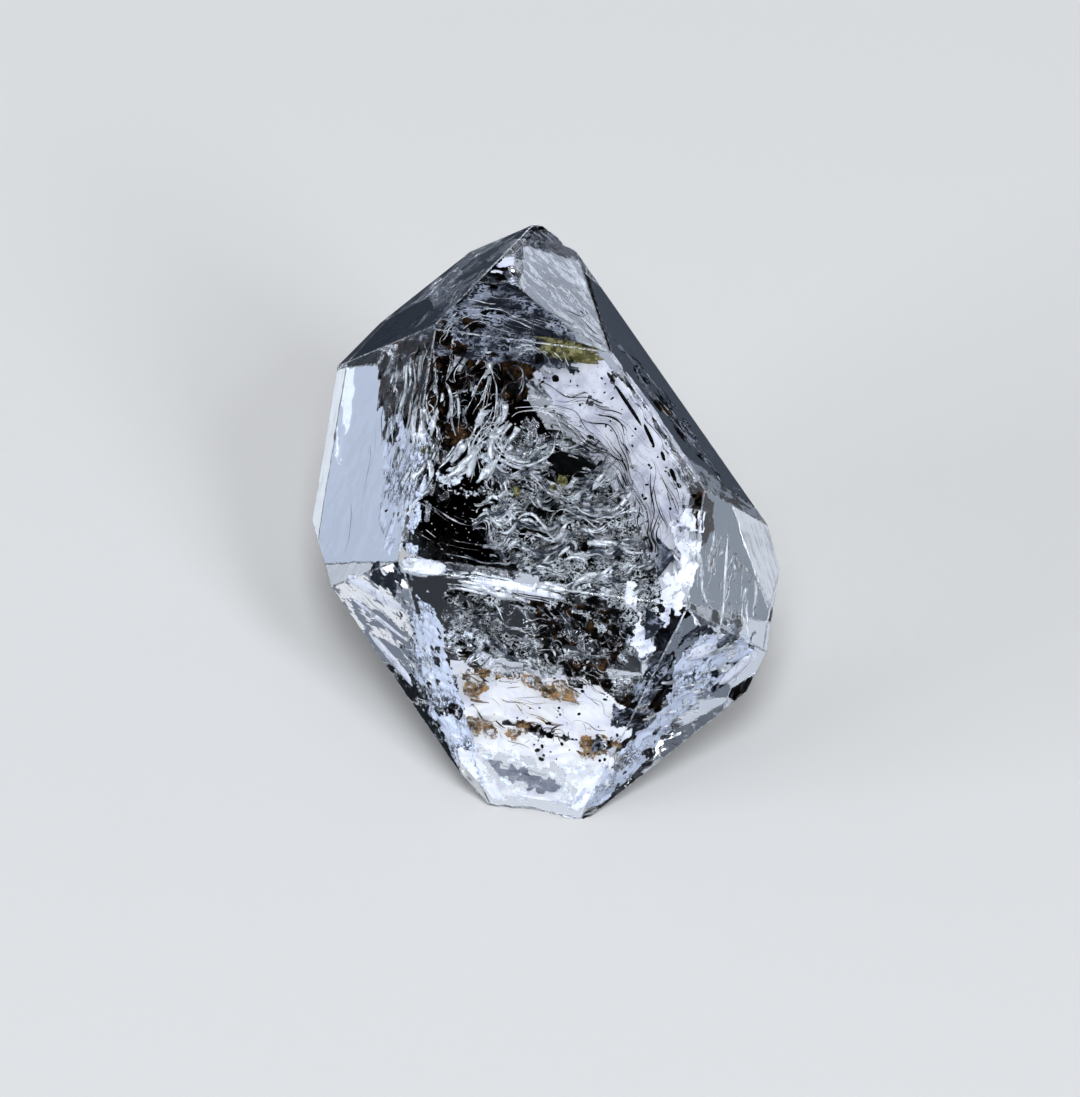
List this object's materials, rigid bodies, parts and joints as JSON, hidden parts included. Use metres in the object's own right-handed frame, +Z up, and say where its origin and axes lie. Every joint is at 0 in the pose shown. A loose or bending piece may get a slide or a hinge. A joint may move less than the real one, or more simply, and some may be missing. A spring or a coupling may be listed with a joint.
{
  "type": "herkimer diamond",
  "caption": "Clear doubly terminated quartz crystal with six prism faces and two slanted ends, lying on its back lower end face.",
  "frame": {"origin": "middle of the bounding box, on the surface the crystal lies on", "axes": "+Z up; the crystal's long axis lies in the YZ plane, 38.2 degrees above level, its upper tip towards +Y; the front faces look towards -Y"},
  "size_m": [0.016, 0.0178, 0.0131],
  "materials": {
    "clear_quartz": "water-clear rock crystal with a natural glassy polish, flat faces and frosted, chipped tips",
    "carbon": "black anthraxolite flecks sealed in the crystal",
    "brown_film": "brown to orange-brown films sealed in the crystal",
    "petroleum": "olive to yellow-green oil drops and a band of them, sealed in the crystal",
    "channel": "worm-like hollow channels sealed in the crystal, silvery where they mirror the light",
    "veil": "milky white veils of tiny bubbles and healed cracks, sealed in the crystal"
  },
  "bodies": {
    "root": {"quartz_crystal": "clear_quartz"}
  },
  "joints": []
}
